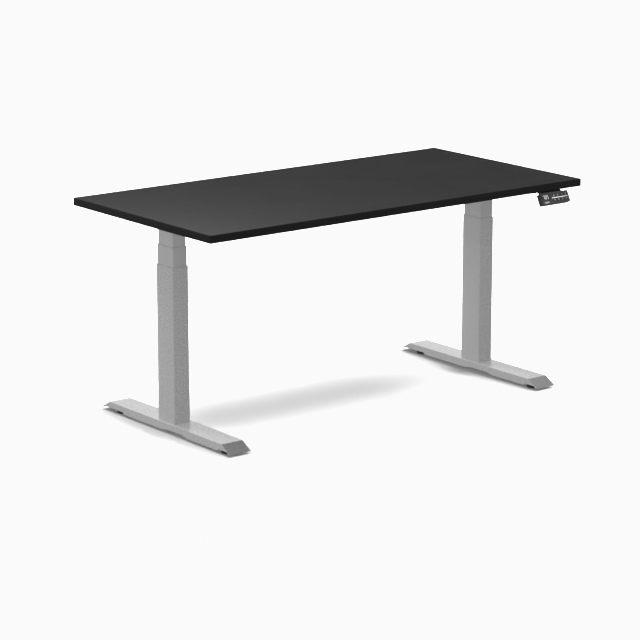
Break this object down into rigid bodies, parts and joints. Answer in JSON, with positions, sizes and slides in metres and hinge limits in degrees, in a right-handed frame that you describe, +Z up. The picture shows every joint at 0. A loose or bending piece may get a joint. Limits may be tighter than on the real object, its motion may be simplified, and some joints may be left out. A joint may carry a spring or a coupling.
{
  "type": "height adjustable standing desk",
  "caption": "Rectangular worktop on telescopic columns with channel feet, raised by a screw drive in each column and run from a tilted key panel under the front edge.",
  "frame": {"origin": "on the floor, at the centre of the desk's footprint", "axes": "+X to the user's right, along the worktop; +Y away from the user; +Z up"},
  "size_m": [1.5, 0.773, 0.705],
  "materials": {
    "black_laminate": "matt black melamine on chipboard",
    "silver_powder_coat": "satin silver-grey powder coat",
    "black_coated_steel": "matt black powder coat",
    "zinc_plated_steel": "zinc plated",
    "die_cast_zinc": "as cast",
    "acetal": "smooth",
    "black_rubber": "matt",
    "black_plastic": "fine moulded texture",
    "gloss_black": "semi-gloss"
  },
  "bodies": {
    "base": {"left_foot": "silver_powder_coat", "left_base_plate": "zinc_plated_steel", "left_outer_tube": "silver_powder_coat", "left_outer_guide": "acetal", "left_push_tube": "zinc_plated_steel", "left_base_nut": "acetal", "right_foot": "silver_powder_coat", "right_base_plate": "zinc_plated_steel", "right_outer_tube": "silver_powder_coat", "right_outer_guide": "acetal", "right_push_tube": "zinc_plated_steel", "right_base_nut": "acetal"},
    "top": {"tabletop": "black_laminate", "control_box_case": "black_plastic", "control_box_lid": "black_plastic", "power_inlet": "black_plastic", "handset_housing": "black_plastic", "handset_panel": "gloss_black", "handset_lead": "black_rubber", "left_inner_tube": "silver_powder_coat", "left_inner_shoe": "acetal", "left_motor": "zinc_plated_steel", "left_gearbox": "die_cast_zinc", "left_leg_head": "black_coated_steel", "left_side_bracket": "black_coated_steel", "left_front_rail": "black_coated_steel", "left_rear_rail": "black_coated_steel", "left_motor_lead": "black_rubber", "right_inner_tube": "silver_powder_coat", "right_inner_shoe": "acetal", "right_motor": "zinc_plated_steel", "right_gearbox": "die_cast_zinc", "right_leg_head": "black_coated_steel", "right_side_bracket": "black_coated_steel", "right_front_rail": "black_coated_steel", "right_rear_rail": "black_coated_steel", "right_motor_lead": "black_rubber"},
    "left_middle": {"left_middle_tube": "silver_powder_coat", "left_middle_guide": "acetal", "left_drag_tube": "zinc_plated_steel"},
    "left_screw": {"left_screw_tube": "zinc_plated_steel"},
    "left_spindle": {"left_spindle": "zinc_plated_steel"},
    "left_front_glide": {"left_front_glide": "black_rubber"},
    "left_rear_glide": {"left_rear_glide": "black_rubber"},
    "right_middle": {"right_middle_tube": "silver_powder_coat", "right_middle_guide": "acetal", "right_drag_tube": "zinc_plated_steel"},
    "right_screw": {"right_screw_tube": "zinc_plated_steel"},
    "right_spindle": {"right_spindle": "zinc_plated_steel"},
    "right_front_glide": {"right_front_glide": "black_rubber"},
    "right_rear_glide": {"right_rear_glide": "black_rubber"},
    "key_1_1": {"key_1_1": "gloss_black"},
    "key_1_2": {"key_1_2": "gloss_black"},
    "key_1_3": {"key_1_3": "gloss_black"},
    "key_1_4": {"key_1_4": "gloss_black"},
    "key_2_1": {"key_2_1": "gloss_black"},
    "key_2_2": {"key_2_2": "gloss_black"},
    "key_2_3": {"key_2_3": "gloss_black"},
    "key_2_4": {"key_2_4": "gloss_black"}
  },
  "joints": [
    {"name": "lift", "type": "slide", "parent": "base", "child": "top", "axis": [0, 0, 1], "range_m": [-0.085, 0.55]},
    {"name": "left_middle_lift", "type": "slide", "parent": "base", "child": "left_middle", "axis": [0, 0, 1], "range_m": [-0.043, 0.2755]},
    {"name": "left_screw_turn", "type": "hinge", "parent": "left_middle", "child": "left_screw", "pos_m": [-0.63, 0.01147, 0.3], "axis": [0, 0, 1], "range_deg": [-1920, 12400]},
    {"name": "left_spindle_turn", "type": "hinge", "parent": "top", "child": "left_spindle", "pos_m": [-0.63, 0.01147, 0.3], "axis": [0, 0, 1], "range_deg": [-1920, 12400]},
    {"name": "left_front_levelling", "type": "slide", "parent": "base", "child": "left_front_glide", "axis": [0, 0, -1], "range_m": [0, 0.01]},
    {"name": "left_rear_levelling", "type": "slide", "parent": "base", "child": "left_rear_glide", "axis": [0, 0, -1], "range_m": [0, 0.01]},
    {"name": "right_middle_lift", "type": "slide", "parent": "base", "child": "right_middle", "axis": [0, 0, 1], "range_m": [-0.043, 0.2755]},
    {"name": "right_screw_turn", "type": "hinge", "parent": "right_middle", "child": "right_screw", "pos_m": [0.63, 0.01147, 0.3], "axis": [0, 0, 1], "range_deg": [-1920, 12400]},
    {"name": "right_spindle_turn", "type": "hinge", "parent": "top", "child": "right_spindle", "pos_m": [0.63, 0.01147, 0.3], "axis": [0, 0, 1], "range_deg": [-1920, 12400]},
    {"name": "right_front_levelling", "type": "slide", "parent": "base", "child": "right_front_glide", "axis": [0, 0, -1], "range_m": [0, 0.01]},
    {"name": "right_rear_levelling", "type": "slide", "parent": "base", "child": "right_rear_glide", "axis": [0, 0, -1], "range_m": [0, 0.01]},
    {"name": "key_1_1_press", "type": "slide", "parent": "top", "child": "key_1_1", "axis": [0, 0.891, -0.454], "range_m": [0, 0.0008], "stiffness_N_per_m": 800, "springref_m": -0.0005},
    {"name": "key_1_2_press", "type": "slide", "parent": "top", "child": "key_1_2", "axis": [0, 0.891, -0.454], "range_m": [0, 0.0008], "stiffness_N_per_m": 800, "springref_m": -0.0005},
    {"name": "key_1_3_press", "type": "slide", "parent": "top", "child": "key_1_3", "axis": [0, 0.891, -0.454], "range_m": [0, 0.0008], "stiffness_N_per_m": 800, "springref_m": -0.0005},
    {"name": "key_1_4_press", "type": "slide", "parent": "top", "child": "key_1_4", "axis": [0, 0.891, -0.454], "range_m": [0, 0.0008], "stiffness_N_per_m": 800, "springref_m": -0.0005},
    {"name": "key_2_1_press", "type": "slide", "parent": "top", "child": "key_2_1", "axis": [0, 0.891, -0.454], "range_m": [0, 0.0008], "stiffness_N_per_m": 800, "springref_m": -0.0005},
    {"name": "key_2_2_press", "type": "slide", "parent": "top", "child": "key_2_2", "axis": [0, 0.891, -0.454], "range_m": [0, 0.0008], "stiffness_N_per_m": 800, "springref_m": -0.0005},
    {"name": "key_2_3_press", "type": "slide", "parent": "top", "child": "key_2_3", "axis": [0, 0.891, -0.454], "range_m": [0, 0.0008], "stiffness_N_per_m": 800, "springref_m": -0.0005},
    {"name": "key_2_4_press", "type": "slide", "parent": "top", "child": "key_2_4", "axis": [0, 0.891, -0.454], "range_m": [0, 0.0008], "stiffness_N_per_m": 800, "springref_m": -0.0005}
  ],
  "couplings": [
    {"joint": "left_middle_lift", "follows": "lift", "ratio": 0.5},
    {"joint": "left_screw_turn", "follows": "lift", "rad_per_m": 392.7},
    {"joint": "left_spindle_turn", "follows": "lift", "rad_per_m": 392.7},
    {"joint": "right_middle_lift", "follows": "lift", "ratio": 0.5},
    {"joint": "right_screw_turn", "follows": "lift", "rad_per_m": 392.7},
    {"joint": "right_spindle_turn", "follows": "lift", "rad_per_m": 392.7}
  ]
}
